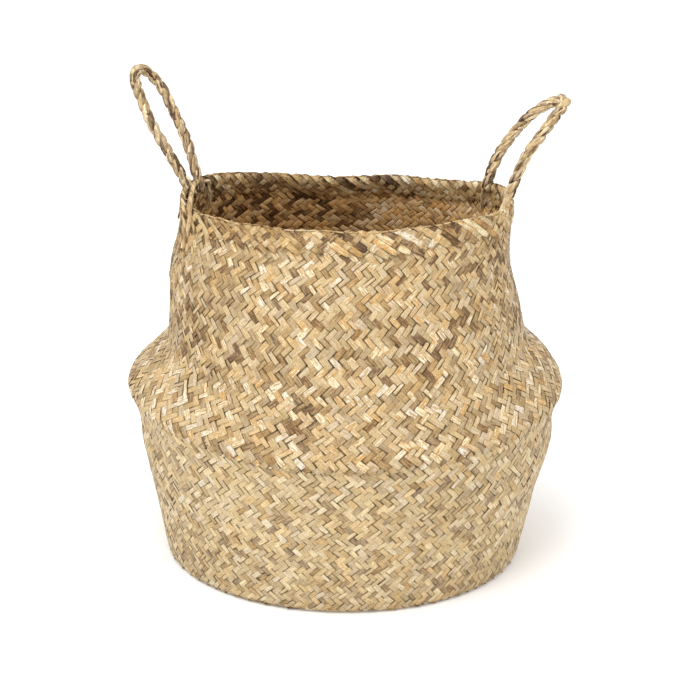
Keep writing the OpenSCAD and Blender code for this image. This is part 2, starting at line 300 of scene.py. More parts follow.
class Wall:
    """The wall as a table of points and outward directions. A place on it is a share u of the way
    round, counter-clockwise from +X, and a row."""

    COLUMNS = 1440

    def __init__(self):
        z, half_w, half_d = wall_rows()
        self.z = z
        grid = np.linspace(0, TAU, self.COLUMNS + 1)
        speed = np.sqrt((half_w[:, None] * np.sin(grid)) ** 2 + (half_d[:, None] * np.cos(grid)) ** 2)
        run = np.concatenate([np.zeros((len(z), 1)), np.cumsum((speed[:, 1:] + speed[:, :-1]) / 2, 1)], 1)
        self.girth = run[:, -1] * grid[1]
        u = np.arange(self.COLUMNS) / self.COLUMNS
        crowding = -CROWDING * smooth((z - BELLY_Z) / (MOUTH_Z - BELLY_Z))
        self.turn = np.zeros((len(z), self.COLUMNS))
        for i in range(len(z)):
            warped = u + crowding[i] * np.sin(2 * TAU * u) / (2 * TAU)
            self.turn[i] = np.interp(warped, run[i] / run[i, -1], grid)
        points = np.stack([half_w[:, None] * np.cos(self.turn), half_d[:, None] * np.sin(self.turn),
                           np.broadcast_to(z[:, None], self.turn.shape)], -1)
        self.points = hand_work(points)
        round_way = np.roll(self.points, -1, 1) - np.roll(self.points, 1, 1)
        self.outward = unit(np.cross(round_way, np.gradient(self.points, axis=0)))
        rise = np.sqrt(np.diff(z) ** 2 + (np.diff(half_w) ** 2 + np.diff(half_d) ** 2) / 2)
        dense = np.where(z < BELLY_Z, 1.0, DENSE_ROWS - DENSE_LOSS * smooth((z - DENSE_TO) / DENSE_REACH))
        two_girths = self.girth[1:] + self.girth[:-1]
        self.climb = np.concatenate([[0], np.cumsum(rise * dense[1:] * 2 / two_girths)])

    def look_up(self, table, u, row):
        low = np.clip(np.floor(row).astype(int), 0, len(self.z) - 2)
        mix = (row - low)[..., None]
        column = (u % 1.0) * self.COLUMNS
        left = np.floor(column).astype(int) % self.COLUMNS
        part = (column - np.floor(column))[..., None]
        right = (left + 1) % self.COLUMNS
        below = table[low, left] * (1 - part) + table[low, right] * part
        above = table[low + 1, left] * (1 - part) + table[low + 1, right] * part
        return below * (1 - mix) + above * mix

    def spot(self, u, row):
        return self.look_up(self.points, u, row)

    def out(self, u, row):
        return unit(self.look_up(self.outward, u, row))

    def row_of_z(self, z):
        return np.interp(z, self.z, np.arange(len(self.z)))

    def climb_of_z(self, z):
        return float(np.interp(z, self.z, self.climb))

    def row_of_climb(self, climb):
        return np.interp(climb, self.climb, np.arange(len(self.z)))

    def u_of_angle(self, degrees, z):
        row = int(round(float(self.row_of_z(z))))
        shares = np.arange(self.COLUMNS) / self.COLUMNS
        return float(np.interp(math.radians(degrees % 360), self.turn[row], shares))


wall = Wall()


# ---- Weaving ----

# How far the front's and the back's pattern reaches to both sides, as a share of the way round
FRONT_REACH = 0.15


def over_pattern(a, b, u):
    """True where strip a of the right-leaning set passes over strip b of the left-leaning set.
    Two over and two under, in rows at the front and back and in columns at the sides."""
    rows = ((a - b) % 4) < 2
    columns = ((a + b) % 4) < 2
    front_or_back = np.abs((u % 0.5) - 0.25) < FRONT_REACH
    return np.where(front_or_back, rows, columns)


def drifting_tones(strips, steps, keep, own_share):
    """A colour value from 0 to 1 for each strip and step: it drifts along a strip."""
    tone = np.zeros((strips, steps))
    now = rng.normal(size=strips)
    own = rng.normal(size=strips) * own_share
    for i in range(steps):
        now = keep * now + math.sqrt(1 - keep ** 2) * rng.normal(size=strips)
        tone[:, i] = now + own
    scaled = tone / math.sqrt(1 + own_share ** 2)
    return 0.5 * (1 + np.vectorize(math.erf)(scaled / math.sqrt(2)))


# Each crossing has two stations, this far before and after its middle, and between two crossings a
# strip changes from over to under. The whole weave also twists a little round the basket as it rises
HOLD = 0.41
TWIST = 0.05
# The share of floats that leave a slit beside them, and the slit's share of their width
SLIT_SHARE = 0.26
SLIT = 0.16
# A strip's width as a share of the room it has, how far strips bend aside (a share of the room too), how
# far floats stray in place and width, and how far a float's edges tilt and its middle stands off
STRIP_WIDTH = 1.01
BEND = 0.05
UNEVEN = 0.03
TILT = 0.09 * MM
PUFF = 0.10 * MM
# Strips are not cut evenly: waves of the edge that two neighbours share, as amount, slowest rate and
# what chance adds to it
EDGE_WAVES = ((0.11, 0.1, 0.2), (0.08, 0.5, 0.5))
# The outer layer's upper strips start this much further out, and lose it over this many crossings
START_PROUD = 0.6 * MM
START_LEVELS = 2.5
# Painted light: the strips are paler below a height on the shoulder, which faces up to the light, and
# inside round an angle, with a half width and an amount, where the light falls on the back wall. The
# second place inside is a little darker, as painted shade
SHOULDER_PAINTED_LIGHT = 0.11
SHOULDER_PAINTED_LIGHT_TOP = 205 * MM
SHOULDER_PAINTED_LIGHT_REACH = 40 * MM
INSIDE_PAINTED_LIGHT = ((55, 45, 0.22), (125, 35, -0.06))


class Strips:
    """All the strips of one lean in one layer of the wall, between two heights. One level is one
    crossing with the strips of the other lean."""

    def __init__(self, count, lean, z_from, z_to, depth, inside, section):
        self.count, self.lean, self.inside, self.section = count, lean, inside, section
        self.is_upper = z_from > 0.5 * BELLY_Z
        self.number = np.arange(count)[:, None]
        self.lay_lines(z_from, z_to, depth)
        edge = self.edge_waves()
        self.cross_over()
        self.colour_floats()
        self.shape_floats(edge)
        self.seed = rng.random(count)

    def lay_lines(self, z_from, z_to, depth):
        """Each strip's middle line, the way its face and side look, and half its width."""
        start = wall.climb_of_z(z_from)
        self.levels = int((wall.climb_of_z(z_to) - start) * 2 * self.count)
        self.crossing = np.arange(self.levels + 1)
        self.level = np.stack([self.crossing - HOLD, self.crossing + HOLD], 1).ravel()
        bend = rng.normal(size=(3, self.count, 1)) * BEND
        wave = sum(bend[k] * np.sin(self.level * (0.21 + 0.17 * k) + 40 * bend[k]) for k in range(3))
        u = (self.number + (self.lean / 2 + TWIST) * self.level + wave) / self.count
        row = np.broadcast_to(wall.row_of_climb(start + self.level / (2 * self.count)), u.shape)
        out = wall.out(u, row)
        proud = START_PROUD * np.exp(-self.level / START_LEVELS) * (self.is_upper and not self.inside)
        self.line = wall.spot(u, row) - out * (depth - np.broadcast_to(proud, u.shape))[..., None]
        self.face = out * (-1 if self.inside else 1)
        self.side = unit(np.cross(self.face, unit(np.gradient(self.line, axis=1))))
        next_strip = wall.spot(u + 0.5 / self.count, row) - wall.spot(u, row)
        self.to_next = np.sum(next_strip * self.side, -1)
        self.half = np.abs(self.to_next)

    def edge_waves(self):
        """How far each strip's edge strays at each station, in half widths."""
        chance = rng.random((4, self.count, 1))
        edge = 0
        for k, (amount, slowest, added) in enumerate(EDGE_WAVES):
            rate = slowest + added * chance[2 * k]
            edge = edge + amount * np.sin(self.level * rate + TAU * chance[2 * k + 1])
        return edge

    def cross_over(self):
        """Where each strip passes over the other set, and which of its floats each station is on."""
        other = self.number + self.lean * self.crossing
        at = (self.number + (self.lean / 2 + TWIST) * self.crossing) / self.count
        if self.lean > 0:
            over = over_pattern(self.number, other, at)
        else:
            over = ~over_pattern(other, self.number, at)
        self.state = np.where(over != self.inside, 1.0, -1.0)
        self.lift = np.repeat(self.state, 2, axis=1)
        rises = (self.state[:, 1:] > 0) & (self.state[:, :-1] < 0)
        floats = np.cumsum(np.concatenate([rises, np.zeros((self.count, 1), bool)], 1), 1)
        self.station_float = np.repeat(floats, 2, axis=1)
        self.steps = int(floats.max()) + 1

    def per_float(self, values):
        """One value for each float, spread over the float's stations."""
        return np.take_along_axis(values, self.station_float, 1)

    def by_chance(self, amount):
        return self.per_float(rng.normal(size=(self.count, self.steps))) * amount

    def colour_floats(self):
        """A tone and a hue for each float, patches of the wall that are paler or darker, and painted light:
        a paler shoulder, a paler lit part inside and a darker shaded part inside.
        """
        turn = np.arctan2(self.line[..., 1], self.line[..., 0])
        z = self.line[..., 2]
        patch = 0.04 * np.sin(2 * turn + 45 * z + 1.0) + 0.03 * np.sin(5 * turn - 70 * z)
        # Painted light on the tones: paler on the up-facing shoulder, paler inside where the light falls
        # and darker in the inside's shade
        if self.is_upper:
            patch = patch + SHOULDER_PAINTED_LIGHT * smooth((SHOULDER_PAINTED_LIGHT_TOP - z) / SHOULDER_PAINTED_LIGHT_REACH)
        if self.inside:
            patch = patch + sum(bump(turn, at, width) * amount for at, width, amount in INSIDE_PAINTED_LIGHT)
        tones = drifting_tones(self.count, self.steps, 0.3, 0.35)
        self.tone = np.clip(self.per_float(tones) + patch, 0, 1)
        self.hue = self.per_float(rng.random((self.count, self.steps)))

    def shape_floats(self, edge):
        """How each float tilts, stands off and sways, and how wide it is."""
        size = (self.count, self.steps)
        next_edge = np.roll(edge, -1, 0)
        self.tilt = self.by_chance(TILT)
        self.puff = self.by_chance(PUFF)
        self.sway = np.sign(self.to_next) * (edge + next_edge) + self.by_chance(UNEVEN)
        self.width = STRIP_WIDTH + next_edge - edge + self.by_chance(UNEVEN)
        self.width = self.width - self.per_float((rng.random(size) < SLIT_SHARE) * SLIT)
        turns_under = np.zeros(self.lift.shape)
        change = self.state[:, 1:] != self.state[:, :-1]
        turns_under[:, 1:-1:2] = change
        turns_under[:, 2::2] = change
        self.width = self.width - turns_under * (0.01 + 0.06 * self.per_float(rng.random(size)))

    def parts(self, low=0, high=None):
        """The stretch of every strip between two levels. Stretches that follow each other share one
        ring of points."""
        a = 2 * low + (1 if low > 0 else 0)
        b = 2 * (self.levels if high is None else high) + 2
        c = self.section[:, 0][None, :, None]
        h = self.section[:, 1][None, :, None] * STRIP_T

        def stations(table, i):
            return table[i, a:b, None, None]

        made = []
        for i in range(self.count):
            line, face, side = self.line[i, a:b, None], self.face[i, a:b, None], self.side[i, a:b, None]
            lift = stations(self.lift, i)
            across = c * stations(self.width, i) + stations(self.sway, i)
            height = lift * RELIEF + stations(self.puff, i) + stations(self.tilt, i) * c
            rings = line + side * across * stations(self.half, i) + face * (height + h)
            full = np.ones(rings.shape[:2])
            length = run_length(self.line[i, a:b])[:, None] + 0.3 * i
            colour_seed = self.seed[i] + self.hue[i, a:b, None]
            shade = np.where(lift[..., 0] > 0, 1.0, UNDER_SHADE)
            strand = np.stack([length * full, c[..., 0] * full, colour_seed * full], -1)
            look = np.stack([self.tone[i, a:b, None] * full, shade * full, self.is_upper * full], -1)
            made.append((rings, strand, look))
        return made


# ---- Materials ----

def srgb(r, g, b):
    def linear(v):
        v /= 255
        return v / 12.92 if v <= 0.04045 else ((v + 0.055) / 1.055) ** 2.4
    return (linear(r), linear(g), linear(b), 1.0)


class Nodes:
    """A short way to build a material's node tree."""

    def __init__(self, name):
        self.material = bpy.data.materials.new(name)
        self.material.use_nodes = True
        self.tree = self.material.node_tree
        self.shader = self.tree.nodes["Principled BSDF"]

    def add(self, kind, **settings):
        node = self.tree.nodes.new(kind)
        for key, value in settings.items():
            setattr(node, key, value)
        return node

    def put(self, value, socket):
        if isinstance(value, (int, float, tuple)):
            socket.default_value = value
        elif value is not None:
            self.tree.links.new(value, socket)

    def split(self, attribute):
        node = self.add("ShaderNodeAttribute", attribute_name=attribute)
        parts = self.add("ShaderNodeSeparateXYZ")
        self.put(node.outputs["Vector"], parts.inputs[0])
        return parts.outputs

    def math(self, operation, a, b=None, c=None):
        node = self.add("ShaderNodeMath", operation=operation)
        for socket, value in zip(node.inputs, (a, b, c)):
            self.put(value, socket)
        return node.outputs[0]

    def vector(self, x, y, z):
        node = self.add("ShaderNodeCombineXYZ")
        for socket, value in zip(node.inputs, (x, y, z)):
            self.put(value, socket)
        return node.outputs[0]

    def noise(self, place, detail, roughness):
        node = self.add("ShaderNodeTexNoise")
        node.inputs["Scale"].default_value = 1.0
        node.inputs["Detail"].default_value = detail
        node.inputs["Roughness"].default_value = roughness
        self.put(place, node.inputs["Vector"])
        return node.outputs["Fac"]

    def ramp(self, factor, stops):
        node = self.add("ShaderNodeValToRGB")
        elements = node.color_ramp.elements
        while len(elements) < len(stops):
            elements.new(0.5)
        for element, (place, colour) in zip(elements, stops):
            element.position = place
            element.color = srgb(*colour)
        self.put(factor, node.inputs[0])
        return node.outputs[0]

    def mix(self, factor, a, b, blend="MIX"):
        node = self.add("ShaderNodeMix", data_type="RGBA", blend_type=blend)
        for socket, value in zip((node.inputs[0], node.inputs[6], node.inputs[7]), (factor, a, b)):
            self.put(value, socket)
        return node.outputs[2]


# Noise along and across a leaf: how fine it is each way, its detail and its roughness
FIBRES = (60.0, 4.5, 3.0, 0.7)
STREAKS = (150.0, 2.0, 2.0, 0.6)
SPECKS = (900.0, 3.0, 2.0, 0.8)
STREAK_DEPTH = 0.9
SPECK_DEPTH = 1.5
# Colour ramps, from the darkest leaves to the palest. HUES tints whole floats from grey to gold
HUES = [(0.0, (246, 246, 255)), (0.35, (255, 253, 250)), (0.7, (255, 250, 238)), (0.92, (255, 245, 228)),
        (1.0, (255, 238, 212))]
UPPER_TONES = [(0.0, (108, 82, 56)), (0.04, (124, 97, 65)), (0.13, (149, 123, 85)),
               (0.32, (170, 146, 107)), (0.55, (184, 162, 124)), (0.74, (198, 179, 145)),
               (0.84, (189, 158, 110)), (0.9, (184, 147, 90)), (0.95, (196, 176, 140)),
               (1.0, (216, 204, 179))]
LOWER_TONES = [(0.0, (141, 118, 89)), (0.06, (164, 142, 106)), (0.28, (186, 164, 125)),
               (0.6, (196, 175, 137)), (0.85, (205, 185, 148)), (1.0, (214, 200, 167))]
# The inner layer's mid and pale tones are paler than the outer's: painted light for the inside wall
INNER_TONES = [(0.0, (88, 62, 38)), (0.12, (128, 97, 62)), (0.35, (205, 171, 120)),
               (0.62, (238, 210, 160)), (0.82, (234, 184, 116)), (1.0, (248, 228, 190))]
BORDER_TONES = [(0.0, (85, 63, 42)), (0.1, (126, 97, 64)), (0.28, (167, 138, 94)),
                (0.5, (184, 158, 115)), (0.7, (195, 176, 138)), (0.84, (186, 149, 92)),
                (1.0, (216, 206, 178))]
ROPE_TONES = [(0.0, (82, 62, 42)), (0.15, (124, 100, 72)), (0.35, (166, 142, 108)), (0.6, (190, 167, 131)),
              (0.85, (210, 190, 154)), (1.0, (228, 213, 182))]


def leaf_noise(n, along, across, far, kind):
    fine_along, fine_across, detail, roughness = kind
    place = n.vector(n.math("MULTIPLY", along, fine_along), n.math("MULTIPLY", across, fine_across), far)
    return n.noise(place, detail, roughness)


def about_one(n, noise, depth):
    """Noise as a factor that lightens and darkens."""
    return n.math("MULTIPLY_ADD", n.math("SUBTRACT", noise, 0.5), depth, 1.0)


def seagrass(name, high_tones, low_tones=None, roughness=0.6, fibre_depth=0.7, relief=0.35, edge_shade=0.06):
    """Dried seagrass leaf: a tone for each float, fine fibres along it and specks, with painted shade:
    darker edges for the gaps between strips, and the shade that the look attribute carries.
    """
    n = Nodes(name)
    along, across, seed = n.split("strand")
    tone, shade, upper = n.split("look")
    far = n.math("MULTIPLY", n.math("FLOOR", n.math("MULTIPLY", seed, 40.0)), 7.3)
    hue = n.math("FRACT", n.math("MULTIPLY", seed, 7.0))
    fibre = leaf_noise(n, along, across, far, FIBRES)
    streak = leaf_noise(n, along, across, far, STREAKS)
    speck = leaf_noise(n, along, across, far, SPECKS)
    shifted = n.math("ADD", tone, n.math("MULTIPLY", n.math("SUBTRACT", streak, 0.5), STREAK_DEPTH))
    colour = n.ramp(shifted, high_tones)
    if low_tones:
        colour = n.mix(upper, n.ramp(shifted, low_tones), colour)
    lines = about_one(n, fibre, 2 * fibre_depth)
    specks = about_one(n, speck, SPECK_DEPTH)
    # Painted shade: the long edges of each strip are darkened, as shade in the gaps between strips
    near_edge = n.math("POWER", n.math("ABSOLUTE", across), 10.0)
    edge = n.math("MULTIPLY_ADD", near_edge, -edge_shade, 1.0)
    # The look attribute's shade is painted shade, multiplied into the colour: covered stretches and the
    # inside of the border are darker
    level = n.math("MULTIPLY", n.math("MULTIPLY", lines, specks), n.math("MULTIPLY", edge, shade))
    warm = n.vector(level, n.math("POWER", level, 1.08), n.math("POWER", level, 1.25))
    colour = n.mix(1.0, colour, n.ramp(hue, HUES), "MULTIPLY")
    n.put(n.mix(1.0, colour, warm, "MULTIPLY"), n.shader.inputs["Base Color"])
    n.shader.inputs["Roughness"].default_value = roughness
    n.shader.inputs["Specular IOR Level"].default_value = 0.3
    surface = n.add("ShaderNodeBump")
    surface.inputs["Strength"].default_value = relief
    surface.inputs["Distance"].default_value = 0.3 * MM
    n.put(fibre, surface.inputs["Height"])
    n.put(surface.outputs[0], n.shader.inputs["Normal"])
    return n.material


grass_outer = seagrass("seagrass_outer", UPPER_TONES, LOWER_TONES)
grass_inner = seagrass("seagrass_inner", INNER_TONES, fibre_depth=0.6)
# The border's strips get strong painted shade along their edges, for the dark gaps between them
grass_border = seagrass("seagrass_border", BORDER_TONES, edge_shade=0.5)
grass_rope = seagrass("seagrass_rope", ROPE_TONES, roughness=0.7, relief=0.6)


# ---- Camera, light and floor ----

TARGET = Vector((4.0 * MM, 0, 168.4 * MM))
CAMERA_RISE = math.radians(20.2)
CAMERA_ROLL = math.radians(0.68)
CAMERA_FAR = 2.77
LENS = 176.3
FLOOR_REACH = 6.0
FLOOR_BELOW = 0.2 * MM


def softbox(name, place, size, watts):
    light = bpy.data.lights.new(name, "AREA")
    light.shape = "DISK"
    light.size = size
    light.energy = watts
    obj = link(bpy.data.objects.new(name, light))
    obj.location = place
    obj.rotation_euler = (TARGET - Vector(place)).to_track_quat("-Z", "Y").to_euler()


def front_camera():
    """The camera at the basket's front, a little above it."""
    camera = bpy.data.cameras.new("camera")
    camera.lens = LENS
    camera.sensor_width = 36
    holder = link(bpy.data.objects.new("camera", camera))
    back = Vector((0, -math.cos(CAMERA_RISE), math.sin(CAMERA_RISE)))
    holder.location = TARGET + CAMERA_FAR * back
    facing = Matrix.Rotation(math.pi / 2 - CAMERA_RISE, 3, "X") @ Matrix.Rotation(CAMERA_ROLL, 3, "Z")
    holder.rotation_euler = facing.to_euler()
    bpy.context.scene.camera = holder


def studio_light():
    """Even white light from all round, and soft light from the front left and from above."""
    scene = bpy.context.scene
    scene.view_settings.view_transform = "Standard"
    world = bpy.data.worlds.new("studio")
    world.use_nodes = True
    world.node_tree.nodes["Background"].inputs[0].default_value = (1, 1, 1, 1)
    world.node_tree.nodes["Background"].inputs[1].default_value = 1.0
    scene.world = world
    softbox("key_light", (-0.5, -1.3, 2.15), 1.3, 27)
    softbox("top_light", (-0.2, -0.2, 2.6), 1.2, 10)


def white_floor():
    r = FLOOR_REACH
    mesh = bpy.data.meshes.new("floor")
    mesh.from_pydata([(-r, -r, 0), (r, -r, 0), (r, r, 0), (-r, r, 0)], [], [(0, 1, 2, 3)])
    floor = link(bpy.data.objects.new("floor", mesh))
    floor.location.z = -FLOOR_BELOW
    n = Nodes("white_floor")
    n.shader.inputs["Base Color"].default_value = (0.92, 0.92, 0.92, 1)
    n.shader.inputs["Roughness"].default_value = 0.9
    n.shader.inputs["Specular IOR Level"].default_value = 0.1
    n.shader.inputs["Emission Color"].default_value = (1, 1, 1, 1)
    n.shader.inputs["Emission Strength"].default_value = 0.12
    floor.data.materials.append(n.material)


front_camera()
studio_light()
white_floor()


# ---- The weave of the walls ----

# The bowl's strips end just above the fold and the upper strips start just below it. The upper ones are
# split between the shoulder's piece and the collar's at SPLIT_Z, and end below the mouth
BOWL_TOP = BELLY_Z + 0.5 * MM
UPPER_FROM = BELLY_Z - 1.5 * MM
UPPER_TO = MOUTH_Z - 2 * MM
SPLIT_Z = SHOULDER_Z + 8 * MM


def wall_piece(zone, layer, word, parts, material, bends):
    piece = tubes(f"{zone}_{layer}_strips_{word}", parts, material)
    if bends:
        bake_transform(piece)
    else:
        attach(piece, "bowl")
    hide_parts(f"{zone}_{layer}_weave")


def weave_layer(layer, bowl_count, upper_count, depth, inside, section, material):
    """Both leans of one layer: the bowl's strips, and the upper strips of the shoulder and collar."""
    for lean, word in ((1, "right"), (-1, "left")):
        bowl = Strips(bowl_count, lean, 0, BOWL_TOP, depth, inside, section)
        wall_piece("bowl", layer, word, bowl.parts(), material, False)
        upper = Strips(upper_count, lean, UPPER_FROM, UPPER_TO, depth, inside, section)
        reach = wall.climb_of_z(SPLIT_Z) - wall.climb_of_z(UPPER_FROM)
        split = int(reach * 2 * upper_count)
        wall_piece("shoulder", layer, word, upper.parts(0, split), material, True)
        wall_piece("collar", layer, word, upper.parts(split), material, True)


weave_layer("outer", BOWL_STRIPS, UPPER_STRIPS, LAYER_MID, False, STRIP_SECTION, grass_outer)
weave_layer("inner", INNER_BOWL_STRIPS, INNER_UPPER_STRIPS, INNER_DEPTH + LAYER_MID, True, THIN_SECTION,
            grass_inner)


# ---- The base ----

# The mats' strips, and how far they reach past the base's edge, into the bowl's
MAT_PITCH = 7.2 * MM
MAT_OVERLAP = 2 * MM


def mat(name, z, facing, material, node):
    """A round mat of strips that cross at right angles, two over and two under."""
    count = int(2 * BASE_R / MAT_PITCH)
    middle = (count - 1) / 2
    made = []
    for way in (0, 1):
        for i in range(count):
            offset = (i - middle) * MAT_PITCH
            reach = math.sqrt(max((BASE_R + MAT_OVERLAP) ** 2 - offset ** 2, 0))
            steps = max(int(2 * reach / (MAT_PITCH / 2)), 4)
            place = np.linspace(-reach, reach, steps)
            crossing = np.floor(place / MAT_PITCH + middle + 0.5).astype(int)
            here = ((crossing - i if way else i - crossing) % 4 < 2) != bool(way)
            over = np.pad(np.where(here, 1.0, -1.0), 1, mode="edge")
            lift = np.convolve(over, (0.25, 0.5, 0.25), "valid")
            line = np.zeros((steps, 3))
            line[:, way] = place
            line[:, 1 - way] = offset + 0.2 * MM * np.sin(place * 60 + i)
            line[:, 2] = z + facing * lift * RELIEF
            tone = drifting_tones(1, steps, 0.85, 0.5)[0]
            shade = np.where(lift > -0.2, 1.0, UNDER_SHADE)
            made.append(ribbon(line, UP * facing, MAT_PITCH * 0.49, 0.62 * MM, tone, STRIP_SECTION, shade,
                               upper=0.0))
    piece = tubes(name, made, material)
    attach(piece, "bowl")
    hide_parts(node)


mat("base_outer_strips", LAYER_MID + 0.1 * MM, -1, grass_outer, "base_outer_mat")
mat("base_inner_strips", INNER_DEPTH + LAYER_MID, 1, grass_inner, "base_inner_mat")


# ---- The border ----

# The strips fold over a round crown. QUARTER is the way from its middle to where it meets the wall.
# BORDER_LEAN is the tangent of their lean, and BORDER_HALF half their width
CROWN_R = WALL_T / 2 + 0.5 * MM
CROWN_Z = MOUTH_Z - CROWN_R
QUARTER = CROWN_R * math.pi / 2
MOUTH_GIRTH = float(wall.girth[-1])
BORDER_STRIPS = 88
BORDER_LEAN = math.tan(math.radians(34))
BORDER_HALF = 2.75 * MM
EDGE_STRIPS = 26
# Some folded strips have their ends tucked in, and the rest stand off a little, most at the left
TUCKED_SHARE = 0.35
RAGGED_AT = 215
RAGGED_WIDTH = 45


def over_rim(u, down, lift):
    """A point of a strip that is folded over the mouth: down is its way past the crown's middle,
    negative on the inside, and lift is how far it stands off. Also gives the way it looks."""
    turn = np.clip(down / QUARTER, -1, 1) * math.pi / 2
    past = np.maximum(np.abs(down) - QUARTER, 0)
    row = wall.row_of_z(CROWN_Z - past)
    spot, out = wall.spot(u, row), wall.out(u, row)
    level = unit(out * np.array([1.0, 1.0, 0.0]))
    sideways = np.where(past[:, None] > 0, out, level)
    face = np.sin(turn)[:, None] * sideways + np.cos(turn)[:, None] * UP
    middle = spot - sideways * WALL_T / 2
    return middle + face * (CROWN_R + lift)[:, None], face


# Rows of locking floats: millimetres down from the crown's middle (inside is negative) and their share
FLOAT_ROWS = ((6.0, 0.55), (11.5, 0.75), (-5.5, 0.7), (-10.0, 0.8), (-14.5, 0.8))


def folded_strip(i, own_tone):
    """One strip folded over the mouth, leaning, with its short end outside."""
    tucked = rng.random() < TUCKED_SHARE
    drop = BORDER_H + (rng.normal() * 1.2 - (4.0 if tucked else 0.5)) * MM
    inner_drop = BORDER_H + (rng.normal() * 1.5 - 2.0) * MM
    inside = np.linspace(-inner_drop, -QUARTER, 7)
    crown = np.linspace(-QUARTER, QUARTER, 7)[1:-1]
    down = np.concatenate([inside, crown, np.linspace(QUARTER, drop, 11)])
    u = i / BORDER_STRIPS + down / BORDER_LEAN / MOUTH_GIRTH + rng.normal() * 0.0008
    share = np.clip((down - QUARTER) / (drop - QUARTER), 0, 1)
    ripple = 0.25 * MM * np.sin(share * 9 + rng.random() * 6) * (share > 0)
    ragged = 0.4 + 1.5 * bump(TAU * i / BORDER_STRIPS, RAGGED_AT, RAGGED_WIDTH)
    tip = (-0.5 if tucked else rng.uniform(0.2, 1.3) * ragged) * MM
    lift = 0.3 * MM + ripple + tip * share ** 4 + rng.normal() * 0.12 * MM
    line, face = over_rim(u, down, lift)
    narrower = 1 - (0.15 if tucked else 0.4) * share ** 9
    width = BORDER_HALF * (1 + rng.normal() * 0.07) * narrower
    drift = drifting_tones(1, len(down), 0.85, 0.3)[0]
    tone = np.clip(own_tone + (drift - 0.5) * 0.4, 0, 1)
    # Painted shade: the stretch inside the mouth is painted a little darker
    shade = np.where(down < -QUARTER, 0.9, 1.0)
    return ribbon(line, face, width, STRIP_T, tone, STRIP_SECTION, shade, tilt=0.5 * MM)


def locking_float(u, middle):
    """A short stretch of a wall strip that comes out over the border's strips and goes in again."""
    half = rng.uniform(2.9, 4.4) * MM
    way = np.linspace(-half, half, 7)
    down = middle + way * 0.76
    lift = 1.0 * MM + rng.normal() * 0.15 * MM - 1.4 * MM * np.abs(way / half) ** 6
    line, face = over_rim(u - way * 0.66 / MOUTH_GIRTH, down, lift)
    # Painted shade: floats inside the mouth are painted a little darker
    shade = 0.95 if middle < 0 else 1.0
    return ribbon(line, face, rng.uniform(2.2, 2.7) * MM, STRIP_T, rng.random(), STRIP_SECTION, shade)


def locking_floats(i):
    """The floats that lock one folded strip."""
    made = []
    for down_at, chance in FLOAT_ROWS:
        if rng.random() < chance:
            middle = (down_at + rng.normal() * 0.7) * MM
            u = i / BORDER_STRIPS + middle / BORDER_LEAN / MOUTH_GIRTH + rng.normal() * 0.001
            made.append(locking_float(u, middle))
    return made


def rolled_edge():
    """Narrow strips that run along the mouth's edge, one after another."""
    made = []
    for i in range(EDGE_STRIPS):
        u = np.linspace(i - 0.15, i + 0.95, 22) / EDGE_STRIPS + rng.normal() * 0.004
        sway = np.sin(u * TAU * rng.integers(9, 20) + rng.random() * 6)
        down = 0.7 * MM + 0.8 * MM * sway
        ends = smooth(np.minimum(np.linspace(0, 6, 22), np.linspace(6, 0, 22)))
        lift = (0.7 + 0.2 * rng.normal()) * MM + 0.25 * MM * np.sin(u * TAU * 41) - (1 - ends) * 1.3 * MM
        line, face = over_rim(u, down, lift)
        tone = np.clip(rng.uniform(0.15, 0.85) + 0.15 * np.sin(u * 500 + i), 0, 1)
        made.append(ribbon(line, face, (0.7 + 0.4 * rng.random()) * MM, 0.8 * MM, tone))
    return made


def border_piece(name, parts, node):
    piece = tubes(name, parts, grass_border)
    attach(piece, "collar")
    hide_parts(node)


def border():
    """Strips folded over the mouth, each lying on its neighbour, and the short floats that lock them."""
    tones = drifting_tones(BORDER_STRIPS, 1, 0.5, 0.9)[:, 0]
    folded, floats = [], []
    for i in range(BORDER_STRIPS):
        folded.append(folded_strip(i, tones[i]))
        floats += locking_floats(i)
    border_piece("rim_border_strips", folded, "rim_border")
    border_piece("rim_locking_strips", floats + rolled_edge(), "rim_strip_ends")


border()


# ---- Rope handles ----

# A rope is two strands that wind round each other once in ROPE_LAY, and a strand is slivers of leaf
ROPE_LAY = 20 * MM
STRAND_OFF = 2.0 * MM
STRAND_R = 2.7 * MM
STRAND_SLIVERS = 9
STRAND_LAY = 17 * MM
TAIL_LAY = 26 * MM
LOOSE_FIBRES = 60
FIBRE_T = 0.2 * MM
# A loop's line runs on below its feet by this share of it
FEET_BELOW = 0.022


def rope_frame(line, guide):
    """The way a line runs, and two directions square to it. The first is the nearest to the guide."""
    along = unit(np.gradient(line, axis=0))
    first = unit(np.cross(along, np.cross(guide, along)))
    return along, first, np.cross(along, first)


def twisted(line, guide, phase):
    """The middle line of a strand that winds round the rope's line."""
    _, first, second = rope_frame(line, guide)
    turn = (TAU * run_length(line) / ROPE_LAY + phase)[:, None]
    return line + STRAND_OFF * (np.cos(turn) * first + np.sin(turn) * second)


